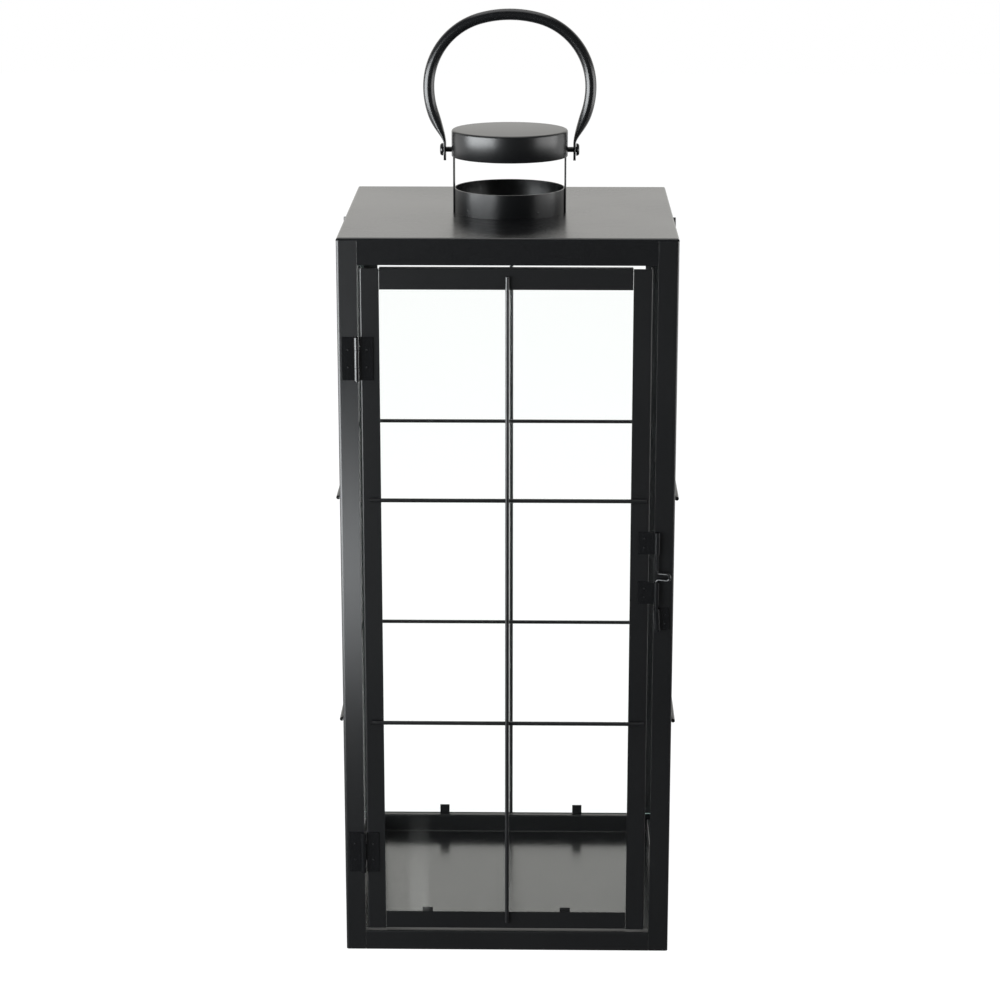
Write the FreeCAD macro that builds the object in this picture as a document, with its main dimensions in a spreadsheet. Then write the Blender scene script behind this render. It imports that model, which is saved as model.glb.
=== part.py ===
import FreeCAD, Part
import math
import os
import re
import Sketcher

# A square candle lantern that stands on the floor: four angle posts, folded rails and roof,
# glass on every side behind a grid of round wire, a front door on two rolled hinges with a
# sliding latch, and a vented crown that carries a bail handle.
#
# Frame: X to the right, Y away from the viewer, Z up. The origin is the middle of the
# underside, and the door is in the front face, on the -Y side. All lengths in millimetres.

# ----------------------------------------------------------------------------- driving sizes

SIZES = [
    # sheet-metal housing
    ("body_width", 250.0),
    ("body_depth", 250.0),
    ("body_height", 560.0),
    ("sheet_thickness", 1.0),
    ("bend_radius", 2.0),
    ("seam", 0.2),
    ("post_leg", 15.0),
    ("roof_lip", 20.0),
    ("rail_height", 15.4),
    ("rail_depth", 8.0),
    ("rail_bend_radius", 1.2),
    # glass and the bent tabs that hold it
    ("glass_thickness", 2.0),
    ("glass_play", 0.2),
    ("glass_end_gap", 0.6),
    ("glass_top_gap", 1.0),
    ("clip_thickness", 0.8),
    ("clip_width", 8.0),
    ("clip_height", 8.0),
    ("clip_foot", 3.2),
    ("clip_spacing", 114.0),
    ("door_clip_spacing", 106.5),
    ("door_clip_shift", -7.4),
    ("door_clip_show", 2.2),
    # door, hung between the front posts
    ("door_gap_hinge", 2.0),
    ("door_gap_latch", 4.0),
    ("door_gap_ends", 2.5),
    ("door_stile_width", 14.0),
    ("door_rail_top_width", 15.5),
    ("door_rail_bottom_width", 14.0),
    ("door_edge_depth", 8.0),
    # grid of round wire, welded to the outside of door and housing
    ("wire_diameter", 3.0),
    ("wire_crossing_gap", 0.05),
    ("wire_level_upper", 363.0),
    ("wire_level_lower", 187.5),
    ("wire_bow_flat", 8.0),
    ("door_wire_inset_hinge", 4.9),
    ("door_wire_inset_latch", 1.9),
    ("door_wire_inset_ends", 5.8),
    ("side_wire_inset", 6.5),
    ("side_upright_inset", 5.0),
    # two rolled hinges, and the clearances of what turns or slides
    ("moving_gap", 0.3),
    ("running_clearance", 0.05),
    ("strip_thickness", 0.9),
    ("hinge_level_upper", 470.5),
    ("hinge_level_lower", 81.5),
    ("hinge_height", 32.4),
    ("hinge_middle_knuckle", 13.1),
    ("hinge_post_leaf", 11.1),
    ("hinge_door_leaf", 11.8),
    ("hinge_axis_inset", 0.5),
    ("hinge_pin_diameter", 2.0),
    ("hinge_pin_overhang", 0.8),
    # sliding latch: a bent rod in two guides on the door, and a keeper on the post
    ("latch_rod_diameter", 2.2),
    ("latch_axis_inset", 2.05),
    ("latch_strip_height", 17.2),
    ("latch_guide_level_upper", 330.4),
    ("latch_guide_level_lower", 291.7),
    ("latch_keeper_gap", 3.6),
    ("latch_guide_leaf", 13.85),
    ("latch_keeper_leaf", 9.1),
    ("latch_keeper_play", 0.3),
    ("latch_keeper_tilt", 3.5),
    ("latch_engagement", 4.0),
    ("latch_bend_radius", 1.9),
    ("latch_run_turn", 45.0),
    ("latch_loop_height", 4.8),
    ("latch_loop_reach", 10.0),
    ("latch_loop_turn", 20.0),
    ("latch_rod_end_inset", 1.0),
    # crown: ring round the vent, two straps and a cap
    ("vent_diameter", 78.0),
    ("ring_diameter", 85.0),
    ("ring_height", 18.3),
    ("crown_wall", 1.0),
    ("crown_gap_height", 24.5),
    ("cap_height", 20.1),
    ("cap_edge_bevel", 1.4),
    ("strap_width", 13.0),
    ("strap_top_gap", 0.8),
    # bail handle: round tube whose ends are pressed flat and turn on two rivets
    ("pivot_above_cap_edge", 4.6),
    ("rivet_shank_diameter", 4.0),
    ("rivet_head_diameter", 9.5),
    ("rivet_head_height", 2.4),
    ("rivet_tail_diameter", 7.0),
    ("rivet_tail_height", 1.2),
    ("handle_gap", 4.1),
    ("handle_width", 132.0),
    ("handle_widest_height", 47.6),
    ("handle_tube_diameter", 8.6),
    ("handle_shoulder_radius", 53.5),
    ("handle_shoulder_angle", 75.0),
    ("handle_run_turn", 7.5),
    ("handle_neck_bulge", 22.0),
    ("handle_neck_height", 5.2),
    ("paddle_thickness", 2.0),
    ("paddle_width", 11.5),
    ("paddle_end", 8.5),
]

# Places worked out from the sizes above, each one from the sizes and the places before it.
PLACES = [
    ("half_width", "body_width / 2"),
    ("half_depth", "body_depth / 2"),
    ("front_face", "-half_depth"),
    ("opening_half", "half_width - post_leg"),
    ("roof_underside", "body_height - sheet_thickness"),
    # door outline
    ("door_left", "-opening_half + door_gap_hinge"),
    ("door_right", "opening_half - door_gap_latch"),
    ("door_base", "rail_height + door_gap_ends"),
    ("door_top", "body_height - roof_lip - door_gap_ends"),
    ("stile_left_inner", "door_left + door_stile_width"),
    ("stile_right_inner", "door_right - door_stile_width"),
    # glass and wire, as distances inward and outward from an outer face
    ("glass_outer", "sheet_thickness + glass_play"),
    ("glass_inner", "glass_outer + glass_thickness"),
    ("clip_face", "glass_inner + glass_play"),
    ("wire_radius", "wire_diameter / 2"),
    ("wire_bow", "wire_diameter + wire_crossing_gap"),
    # hinge line
    ("hinge_bore_radius", "hinge_pin_diameter / 2 + running_clearance"),
    ("hinge_standoff", "hinge_bore_radius + strip_thickness + moving_gap"),
    ("hinge_x", "-opening_half - hinge_axis_inset"),
    ("hinge_y", "front_face - hinge_standoff"),
    # latch line
    ("latch_bore_radius", "latch_rod_diameter / 2 + running_clearance"),
    ("latch_standoff", "latch_bore_radius + strip_thickness + moving_gap"),
    ("latch_x", "opening_half + latch_axis_inset"),
    ("latch_y", "front_face - latch_standoff"),
    ("latch_guide_top", "latch_guide_level_lower + latch_strip_height / 2"),
    ("latch_keeper_top", "latch_guide_top - latch_strip_height - latch_keeper_gap"),
    ("latch_rod_base", "latch_keeper_top - latch_engagement"),
    ("latch_rod_top", "latch_guide_level_upper + latch_strip_height / 2 - latch_rod_end_inset"),
    ("latch_loop_base", "latch_guide_top + moving_gap + latch_bend_radius"),
    # crown and handle
    ("ring_radius", "ring_diameter / 2"),
    ("strap_outer", "ring_radius + crown_wall"),
    ("cap_radius", "strap_outer + crown_wall"),
    ("cap_base", "body_height + ring_height + crown_gap_height"),
    ("cap_top", "cap_base + cap_height"),
    ("strap_height", "cap_top - crown_wall - strap_top_gap - body_height"),
    ("pivot_height", "cap_base + pivot_above_cap_edge"),
    ("rivet_hole_radius", "rivet_shank_diameter / 2 + running_clearance"),
    ("rivet_tail_radius", "rivet_tail_diameter / 2"),
    ("rivet_tail_face", "sqrt(ring_radius ^ 2 - rivet_tail_radius ^ 2)"),
    ("paddle_inner", "cap_radius + handle_gap"),
    ("paddle_outer", "paddle_inner + paddle_thickness"),
    ("rivet_head_face", "paddle_outer + moving_gap"),
]

doc = FreeCAD.newDocument("Lantern")
sheet = doc.addObject("Spreadsheet::Sheet", "Sizes")
for row, (name, number) in enumerate(SIZES, start=1):
    sheet.set("A%d" % row, name)
    sheet.set("B%d" % row, str(number))
    sheet.setAlias("B%d" % row, name)
doc.recompute()

HOME = {name: "Sizes." for name, _ in SIZES}
HOME.update({name: "Places." for name, _ in PLACES})


def bound(text):
    """An expression in which every named size and place is looked up in its own object."""
    return re.sub(r"[a-z_]{2,}", lambda word: HOME.get(word[0], "") + word[0], text)


places = doc.addObject("App::VarSet", "Places")
for name, text in PLACES:
    places.addProperty("App::PropertyFloat", name, "Places")
    places.setExpression(name, bound(text))
doc.recompute()


def size(name):
    """The number that a size or a place has now."""
    return float(getattr(sheet if HOME[name] == "Sizes." else places, name))


# ----------------------------------------------------------------------------- drawing tools

X_AXIS = FreeCAD.Vector(1, 0, 0)
Y_AXIS = FreeCAD.Vector(0, 1, 0)
Z_AXIS = FreeCAD.Vector(0, 0, 1)

# The four faces of the housing: turn about Z, place of the face's middle, and its length.
# A piece for a face is drawn as if for the front, with its own X along the face and its own
# Y inward from the outer skin, and is then turned to its face.
FACES = {
    "front": (0, "0", "-half_depth", "body_width"),
    "right": (90, "half_width", "0", "body_depth"),
    "rear": (180, "0", "half_depth", "body_width"),
    "left": (270, "-half_width", "0", "body_depth"),
}


def new_body(label):
    body = doc.addObject("PartDesign::Body", label)
    body.Label = label
    return body


def place(part, x="0", y="0", z="0", angle=0, axis=Z_AXIS):
    """Turn a part about axis, then bind the three coordinates of its place."""
    part.Placement = FreeCAD.Placement(FreeCAD.Vector(), FreeCAD.Rotation(axis, angle))
    for key, text in (("x", x), ("y", y), ("z", z)):
        part.setExpression("Placement.Base." + key, bound(text))


def place_on_face(part, face):
    angle, x, y, _ = FACES[face]
    place(part, x, y, angle=angle)


def origin_feature(body, role):
    return next(item for item in body.Origin.OriginFeatures if item.Role == role)


def new_sketch(body, role, offset="0"):
    sketch = body.newObject("Sketcher::SketchObject", body.Name + "_sketch")
    sketch.AttachmentSupport = [(origin_feature(body, role), "")]
    sketch.MapMode = "FlatFace"
    sketch.setExpression("AttachmentOffset.Base.z", bound(offset))
    return sketch


def bind(sketch, constraint, text):
    """Add a constraint whose value follows an expression."""
    index = sketch.addConstraint(constraint)
    sketch.setExpression("Constraints[%d]" % index, bound(text))


def bind_point(sketch, geometry, point, x, y):
    """Dimension one point from the sketch's origin, both ways."""
    bind(sketch, Sketcher.Constraint("DistanceX", -1, 1, geometry, point, 1.0), x)
    bind(sketch, Sketcher.Constraint("DistanceY", -1, 1, geometry, point, 1.0), y)


def join_ends(sketch, first, second):
    sketch.addConstraint(Sketcher.Constraint("Coincident", first, 2, second, 1))


def draw_path(sketch, corners, closed=True):
    """Straight lines through the corners, each corner dimensioned from the origin."""
    count = len(corners)
    turns = [2 * math.pi * i / (count + 1) for i in range(count + 1)]
    rough = [FreeCAD.Vector(math.cos(turn), math.sin(turn), 0) for turn in turns]
    line_count = count if closed else count - 1
    lines = []
    for i in range(line_count):
        lines.append(sketch.addGeometry(Part.LineSegment(rough[i], rough[i + 1]), False))
    for first, second in zip(lines, lines[1:]):
        join_ends(sketch, first, second)
    if closed:
        join_ends(sketch, lines[-1], lines[0])
    else:
        bind_point(sketch, lines[-1], 2, *corners[-1])
    for line, (x, y) in zip(lines, corners):
        bind_point(sketch, line, 1, x, y)


def draw_rectangle(sketch, x_low, x_high, y_low, y_high):
    draw_path(sketch, [(x_low, y_low), (x_high, y_low), (x_high, y_high), (x_low, y_high)])


def draw_circle(sketch, radius, x="0", y="0"):
    rough = Part.Circle(FreeCAD.Vector(1, 1, 0), Z_AXIS, 1.0)
    circle = sketch.addGeometry(rough, False)
    bind(sketch, Sketcher.Constraint("Radius", circle, 1.0), radius)
    bind_point(sketch, circle, 3, x, y)


def draw_round(sketch, radius, x="0", y="0"):
    """A twelve-sided outline round a circle, one side square to each axis, for what repeats."""
    corner = "(%s) / cos(15)" % radius
    turns = [15 + 30 * i for i in range(12)]
    corners = []
    for turn in turns:
        across = "%s + %s * cos(%d)" % (x, corner, turn)
        along = "%s + %s * sin(%d)" % (y, corner, turn)
        corners.append((across, along))
    draw_path(sketch, corners)


def pad(body, sketch, length):
    feature = body.newObject("PartDesign::Pad", body.Name + "_pad")
    feature.Profile = sketch
    feature.setExpression("Length", bound(length))
    return feature


def pocket_through(body, sketch):
    """Cut a sketch's outlines through everything that lies behind it."""
    feature = body.newObject("PartDesign::Pocket", body.Name + "_pocket")
    feature.Profile = sketch
    feature.Type = "ThroughAll"
    return feature


def near(a, b):
    return abs(a - b) < 1e-4


def runs_along(edge, axis):
    """True for an edge that is straight along the X, Y or Z axis, given as 0, 1 or 2."""
    box = edge.BoundBox
    spans = [box.XLength, box.YLength, box.ZLength]
    return all(span < 1e-4 for i, span in enumerate(spans) if i != axis)


def edge_names(feature, wanted):
    """Names of the edges of a feature that pass the test."""
    doc.recompute()
    numbered = enumerate(feature.Shape.Edges, start=1)
    return ["Edge%d" % number for number, edge in numbered if wanted(edge)]


def face_names(feature, wanted):
    doc.recompute()
    numbered = enumerate(feature.Shape.Faces, start=1)
    return ["Face%d" % number for number, face in numbered if wanted(face)]


def fillet(body, base, radius, wanted):
    """Round the edges of base that pass the test."""
    names = edge_names(base, wanted)
    feature = body.newObject("PartDesign::Fillet", body.Name + "_fillet")
    feature.Base = (base, names)
    feature.setExpression("Radius", bound(radius))
    return feature


def bevel(body, base, width, wanted):
    """Cut the edges of base that pass the test off at 45 degrees."""
    names = edge_names(base, wanted)
    feature = body.newObject("PartDesign::Chamfer", body.Name + "_bevel")
    feature.Base = (base, names)
    feature.setExpression("Size", bound(width))
    return feature


def shell(body, base, wall, is_open):
    """Leave a wall of even thickness under the skin of base, without the faces that pass."""
    names = face_names(base, is_open)
    feature = body.newObject("PartDesign::Thickness", body.Name + "_shell")
    feature.Base = (base, names)
    feature.Reversed = True
    feature.setExpression("Value", bound(wall))
    return feature


def shell_from_below(body, base, wall, underside):
    """Hollow a piece out through its flat underside."""
    shell(body, base, wall, lambda face: near(face.BoundBox.ZMax, underside))


def block_on_face(label, face, length, y_low, y_high, z_low, z_high):
    """A plain plate on one face of the housing, centred along the face."""
    body = new_body(label)
    sketch = new_sketch(body, "XY_Plane", z_low)
    half = "(%s) / 2" % length
    draw_rectangle(sketch, "-" + half, half, y_low, y_high)
    pad(body, sketch, "%s - (%s)" % (z_high, z_low))
    place_on_face(body, face)
    return body


# ----------------------------------------------------------------------------- housing


def make_base_plate():
    """Floor sheet inside the posts and rails, with corners that clear the posts' bends."""
    body = new_body("base_plate")
    sketch = new_sketch(body, "XY_Plane")
    x = "half_width - sheet_thickness"
    y = "half_depth - sheet_thickness"
    draw_rectangle(sketch, "-(%s)" % x, x, "-(%s)" % y, y)
    plate = pad(body, sketch, "sheet_thickness")
    fillet(body, plate, "bend_radius", lambda edge: runs_along(edge, 2))
    return body


def make_bottom_rail(face):
    """Folded channel between two posts: outer web, top flange, inner web down to the base."""
    body = new_body("bottom_rail_" + face)
    length = "(%s - 2 * post_leg - 2 * seam)" % FACES[face][3]
    sketch = new_sketch(body, "YZ_Plane", "-%s / 2" % length)
    inner = "rail_depth - sheet_thickness"
    under = "rail_height - sheet_thickness"
    corners = [
        ("0", "0"),
        ("sheet_thickness", "0"),
        ("sheet_thickness", under),
        (inner, under),
        (inner, "sheet_thickness"),
        ("rail_depth", "sheet_thickness"),
        ("rail_depth", "rail_height"),
        ("0", "rail_height"),
    ]
    draw_path(sketch, corners)
    channel = pad(body, sketch, length)
    top = size("rail_height")
    skins = (0, size("rail_depth"))

    def is_bend(edge):
        box = edge.BoundBox
        return runs_along(edge, 0) and near(box.ZMin, top) and near_any(box.YMin, skins)

    fillet(body, channel, "rail_bend_radius", is_bend)
    place_on_face(body, face)
    return body


def near_any(value, choices):
    return any(near(value, choice) for choice in choices)


def make_post(label, x, y, angle):
    """Folded angle post, drawn from its outer corner and turned to its place."""
    body = new_body(label)
    sketch = new_sketch(body, "XY_Plane")
    draw_rectangle(sketch, "0", "post_leg", "0", "post_leg")
    bar = pad(body, sketch, "body_height - bend_radius")

    def is_outer_corner(edge):
        return runs_along(edge, 2) and near(edge.BoundBox.XMax, 0) and near(edge.BoundBox.YMax, 0)

    def is_open(face):
        box = face.BoundBox
        leg = size("post_leg")
        return near(box.ZLength, 0) or near(box.XMin, leg) or near(box.YMin, leg)

    rounded = fillet(body, bar, "bend_radius", is_outer_corner)
    shell(body, rounded, "sheet_thickness", is_open)
    place(body, x, y, angle=angle)
    return body


def make_roof():
    """Folded lid: a plate with lips turned down between the posts and a vent in the middle."""
    body = new_body("roof")
    sketch = new_sketch(body, "XY_Plane", "body_height - roof_lip")
    draw_rectangle(sketch, "-half_width", "half_width", "-half_depth", "half_depth")
    lid = pad(body, sketch, "roof_lip")
    top = size("body_height")
    folded = fillet(body, lid, "bend_radius", lambda edge: near(edge.BoundBox.ZMin, top))
    shell_from_below(body, folded, "sheet_thickness", top - size("roof_lip"))

    corners = new_sketch(body, "XY_Plane", "body_height - bend_radius")
    for side in ("-", ""):
        for end in ("-", ""):
            x = [side + "(half_width - post_leg - seam)", side + "(half_width + post_leg)"]
            y = [end + "(half_depth - post_leg - seam)", end + "(half_depth + post_leg)"]
            draw_rectangle(corners, x[0], x[1], y[0], y[1])
    pocket_through(body, corners)

    vent = new_sketch(body, "XY_Plane", "body_height")
    draw_circle(vent, "vent_diameter / 2")
    pocket_through(body, vent)
    return body


# ----------------------------------------------------------------------------- glass and clips


def make_glass(face, length):
    """Pane behind the posts' legs, standing on the rail's flange."""
    top = "roof_underside - glass_top_gap"
    label = "glass_" + face
    return block_on_face(label, face, length, "glass_outer", "glass_inner", "rail_height", top)


def add_clip_pair(body, spacing, shift, ledge, height, up, front="0"):
    """Two bent tabs: a foot on a ledge and an upright leg just behind the pane."""
    way = "+" if up else "-"
    sketch = new_sketch(body, "YZ_Plane", "%s - (%s) / 2 - clip_width / 2" % (shift, spacing))
    leg = "%s + clip_face" % front
    toe = leg + " + clip_foot"
    sole = "%s %s clip_thickness" % (ledge, way)
    tip = "%s %s (%s)" % (ledge, way, height)
    back = leg + " + clip_thickness"
    corners = [(leg, ledge), (toe, ledge), (toe, sole), (back, sole), (back, tip), (leg, tip)]
    draw_path(sketch, corners)
    tab = pad(body, sketch, "clip_width")
    pattern = body.newObject("PartDesign::LinearPattern", body.Name + "_pair")
    pattern.Originals = [tab]
    pattern.Direction = (origin_feature(body, "X_Axis"), [""])
    pattern.setExpression("Length", bound(spacing))
    pattern.Occurrences = 2
    body.Tip = pattern


def make_glass_clips(face):
    body = new_body("glass_clips_" + face)
    add_clip_pair(body, "clip_spacing", "0", "rail_height", "clip_height", up=True)
    add_clip_pair(body, "clip_spacing", "0", "roof_underside", "clip_height", up=False)
    place_on_face(body, face)
    return body


# ----------------------------------------------------------------------------- wire grid


def make_cross_wire(label, face, x_low, x_high, level):
    """Straight wire that lies level on the outer skin."""
    body = new_body(label)
    sketch = new_sketch(body, "YZ_Plane", x_low)
    draw_round(sketch, "wire_radius", "-wire_radius", level)
    pad(body, sketch, "%s - (%s)" % (x_high, x_low))
    place_on_face(body, face)
    return body


def make_upright_wire(label, face, z_low, z_high):
    """Upright wire: its ends are on the skin, and it bows out to pass over the level wires."""
    body = new_body(label)
    spine = new_sketch(body, "YZ_Plane")
    skin = "-wire_radius"
    proud = "-wire_radius - wire_bow"
    corners = [
        (skin, z_low),
        (proud, "wire_level_lower - wire_bow_flat"),
        (proud, "wire_level_upper + wire_bow_flat"),
        (skin, z_high),
    ]
    draw_path(spine, corners, closed=False)
    section = new_sketch(body, "XY_Plane", z_low)
    draw_round(section, "wire_radius", "0", skin)
    pipe = body.newObject("PartDesign::AdditivePipe", body.Name + "_pipe")
    pipe.Profile = section
    pipe.Spine = (spine, [])
    pipe.Transition = "Right corner"
    place_on_face(body, face)
    return body


def make_side_grid(face):
    """Two level wires from post to post and one upright from rail to roof."""
    end = "((%s) / 2 - side_wire_inset)" % FACES[face][3]
    return [
        make_cross_wire("wire_upper_" + face, face, "-" + end, end, "wire_level_upper"),
        make_cross_wire("wire_lower_" + face, face, "-" + end, end, "wire_level_lower"),
        make_upright_wire(
            "wire_upright_" + face, face, "side_upright_inset", "body_height - side_upright_inset"
        ),
    ]


# ----------------------------------------------------------------------------- door


def make_door_stile(label, outer, inner, inward):
    """Angle bar on one side of the door: front leg, and an edge turned into the housing.

    inward is + where the door lies to the right of its outer edge and - where it lies left.
    """
    body = new_body(label)
    sketch = new_sketch(body, "XY_Plane", "door_base")
    back = "front_face + sheet_thickness"
    wall = "%s %s sheet_thickness" % (outer, inward)
    deep = "front_face + door_edge_depth"
    corners = [
        (outer, "front_face"),
        (inner, "front_face"),
        (inner, back),
        (wall, back),
        (wall, deep),
        (outer, deep),
    ]
    draw_path(sketch, corners)
    bar = pad(body, sketch, "door_top - door_base")
    corner = (size(outer.strip()), size("front_face"))

    def is_outer_corner(edge):
        box = edge.BoundBox
        return runs_along(edge, 2) and near(box.XMax, corner[0]) and near(box.YMax, corner[1])

    fillet(body, bar, "rail_bend_radius", is_outer_corner)
    return body


def make_door_rail(label, outer, width, inward):
    """Angle bar between the stiles: front leg, and an edge turned into the housing."""
    body = new_body(label)
    sketch = new_sketch(body, "YZ_Plane", "stile_left_inner + seam")
    back = "front_face + sheet_thickness"
    inner = "%s %s %s" % (outer, inward, width)
    wall = "%s %s sheet_thickness" % (outer, inward)
    deep = "front_face + door_edge_depth"
    corners = [
        ("front_face", outer),
        ("front_face", inner),
        (back, inner),
        (back, wall),
        (deep, wall),
        (deep, outer),
    ]
    draw_path(sketch, corners)
    bar = pad(body, sketch, "stile_right_inner - stile_left_inner - 2 * seam")
    corner = (size("front_face"), size(outer))

    def is_outer_corner(edge):
        box = edge.BoundBox
        return runs_along(edge, 0) and near(box.YMax, corner[0]) and near(box.ZMax, corner[1])

    fillet(body, bar, "rail_bend_radius", is_outer_corner)
    return body


def make_door_glass():
    """Pane behind the door's frame, standing on the turned edge of its bottom rail."""
    pane = doc.addObject("Part::Box", "door_glass")
    pane.Label = "door_glass"
    wall = "sheet_thickness + glass_end_gap"
    pane.setExpression("Length", bound("door_right - door_left - 2 * (%s)" % wall))
    pane.setExpression("Width", bound("glass_thickness"))
    height = "door_top - door_base - 2 * sheet_thickness - glass_top_gap"
    pane.setExpression("Height", bound(height))
    place(pane, "door_left + " + wall, "front_face + glass_outer", "door_base + sheet_thickness")
    return pane


def make_door_clips():
    """Four tabs; the two at the foot show just above the bottom rail."""
    body = new_body("door_glass_clips")
    middle = "(door_left + door_right) / 2 + door_clip_shift"
    low = "door_base + sheet_thickness"
    high = "door_top - sheet_thickness"
    show = "door_rail_bottom_width - sheet_thickness + door_clip_show"
    add_clip_pair(body, "door_clip_spacing", middle, low, show, True, "front_face")
    add_clip_pair(body, "door_clip_spacing", middle, high, "clip_height", False, "front_face")
    return body


def make_door_grid():
    left = "door_left + door_wire_inset_hinge"
    right = "door_right - door_wire_inset_latch"
    low = "door_base + door_wire_inset_ends"
    high = "door_top - door_wire_inset_ends"
    return [
        make_cross_wire("door_wire_upper", "front", left, right, "wire_level_upper"),
        make_cross_wire("door_wire_lower", "front", left, right, "wire_level_lower"),
        make_upright_wire("door_wire_upright", "front", low, high),
    ]


# ----------------------------------------------------------------------------- rolled strips


def make_rolled_strip(label, leaf, height, bore, standoff, curls, clear):
    """Flat strip whose end is rolled round a pin or rod on the body's own Z axis.

    The leaf reaches out along X with its back on the skin at Y = standoff, and the curls,
    given as pairs of low and high ends, stand in front of it. Between the curls the leaf
    stops short of the other leaf's knuckles by the distance clear. A tongue joins each curl
    to the leaf, as far off the skin as the curl is.
    """
    body = new_body(label)
    front = "%s - strip_thickness" % standoff
    plate = new_sketch(body, "XY_Plane", "-(%s) / 2" % height)
    draw_rectangle(plate, clear, leaf, front, standoff)
    pad(body, plate, height)
    for low, high in curls:
        tongue = new_sketch(body, "XY_Plane", low)
        draw_rectangle(tongue, "0", "%s + strip_thickness" % clear, bore, "%s + strip_thickness" % bore)
        pad(body, tongue, "%s - (%s)" % (high, low))
        curl = new_sketch(body, "XY_Plane", low)
        draw_circle(curl, "%s + strip_thickness" % bore)
        pad(body, curl, "%s - (%s)" % (high, low))
    hole = new_sketch(body, "XY_Plane", height)
    draw_circle(hole, bore)
    pocket_through(body, hole)
    return body


def make_hinge(name, level):
    """Leaf on the post with two knuckles, leaf on the door with one, and the pin."""
    half = "hinge_height / 2"
    middle = "hinge_middle_knuckle / 2"
    clear = "hinge_bore_radius + strip_thickness + moving_gap"
    outer_curls = [("-" + half, "-%s - moving_gap" % middle), (middle + " + moving_gap", half)]
    sizes = ("hinge_height", "hinge_bore_radius", "hinge_standoff")
    post_label = "hinge_%s_post_leaf" % name
    post_leaf = make_rolled_strip(post_label, "hinge_post_leaf", *sizes, outer_curls, clear)
    place(post_leaf, "hinge_x", "hinge_y", level, 180, Y_AXIS)
    door_label = "hinge_%s_door_leaf" % name
    inner_curl = [("-" + middle, middle)]
    door_leaf = make_rolled_strip(door_label, "hinge_door_leaf", *sizes, inner_curl, clear)
    place(door_leaf, "hinge_x", "hinge_y", level)

    pin = doc.addObject("Part::Cylinder", "hinge_%s_pin" % name)
    pin.Label = "hinge_%s_pin" % name
    pin.setExpression("Radius", bound("hinge_pin_diameter / 2"))
    pin.setExpression("Height", bound("hinge_height + hinge_pin_overhang"))
    place(pin, "hinge_x", "hinge_y", "%s - %s - hinge_pin_overhang" % (level, half))
    return [post_leaf, door_leaf, pin]


# ----------------------------------------------------------------------------- rods and tubes


def touching_corners(centre, first, last, radius, most_turn):
    """Corners of straight runs that touch an arc from direction first to direction last."""
    total = first.getAngle(last)
    count = math.ceil(total / math.radians(most_turn) - 1e-6)
    turn = total / count
    square = (last - first * math.cos(total)).normalize()
    reach = radius / math.cos(turn / 2)
    corners = []
    for i in range(count):
        angle = (i + 0.5) * turn
        out = first * math.cos(angle) + square * math.sin(angle)
        corners.append(centre + out * reach)
    return corners


def bent_path(corners, radius, most_turn):
    """Path through the corners of a bent rod, each bend made of a few short runs."""
    points = [corners[0]]
    for before, corner, after in zip(corners, corners[1:], corners[2:]):
        back = (before - corner).normalize()
        ahead = (after - corner).normalize()
        half_angle = back.getAngle(ahead) / 2
        centre = corner + (back + ahead).normalize() * (radius / math.sin(half_angle))
        reach = radius / math.tan(half_angle)
        first = (corner + back * reach - centre).normalize()
        last = (corner + ahead * reach - centre).normalize()
        points += touching_corners(centre, first, last, radius, most_turn)
    points.append(corners[-1])
    return Part.makePolygon(points)


def smooth(share):
    """Ease from 0 to 1 with no slope at either end."""
    share = min(max(share, 0.0), 1.0)
    return share * share * (3 - 2 * share)


def blend(first, second, share):
    return first + (second - first) * share


def bar_section(centre, outward, half_thickness, half_width, pressed):
    """Many-sided outline across a bar: round at pressed 0, a flat strip at pressed 1."""
    power = blend(1.0, 0.45, pressed)
    sides = 20
    points = []
    for i in range(sides):
        turn = 2 * math.pi * i / sides
        across = math.copysign(abs(math.cos(turn)) ** power, math.cos(turn))
        along = math.copysign(abs(math.sin(turn)) ** power, math.sin(turn))
        points.append(centre + outward * (half_thickness * across) + Y_AXIS * (half_width * along))
    return Part.makePolygon(points + points[:1])


def swept_bar(path, outward, radius):
    """Round bar along a path of straight runs, mitred where they meet."""
    outline = bar_section(path.Vertexes[0].Point, outward, radius, radius, 0)
    mitred = 1
    return path.makePipeShell([outline], True, False, mitred)


# ----------------------------------------------------------------------------- latch


def make_latch_strip(label, leaf, bore, standoff):
    half = "latch_strip_height / 2"
    clear = "%s + strip_thickness + moving_gap" % bore
    curls = [("-" + half, half)]
    return make_rolled_strip(label, leaf, "latch_strip_height", bore, standoff, curls, clear)


def make_latch_guide(name, level):
    """Strip welded to the door's stile, rolled in front of the post round the latch rod."""
    label = "latch_guide_" + name
    guide = make_latch_strip(label, "latch_guide_leaf", "latch_bore_radius", "latch_standoff")
    place(guide, "latch_x", "latch_y", level, 180, Y_AXIS)
    return guide


def make_latch_keeper():
    """Wider curl on the post that the rod drops into, fixed a little out of plumb."""
    bore = "(latch_bore_radius + latch_keeper_play)"
    keeper = make_latch_strip("latch_keeper", "latch_keeper_leaf", bore, "latch_standoff")
    drop = "latch_strip_height / 2"
    x = "latch_x + %s * sin(latch_keeper_tilt)" % drop
    z = "latch_keeper_top - %s" % drop
    place(keeper, x, "latch_y", z, -size("latch_keeper_tilt"), Y_AXIS)
    return keeper


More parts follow.
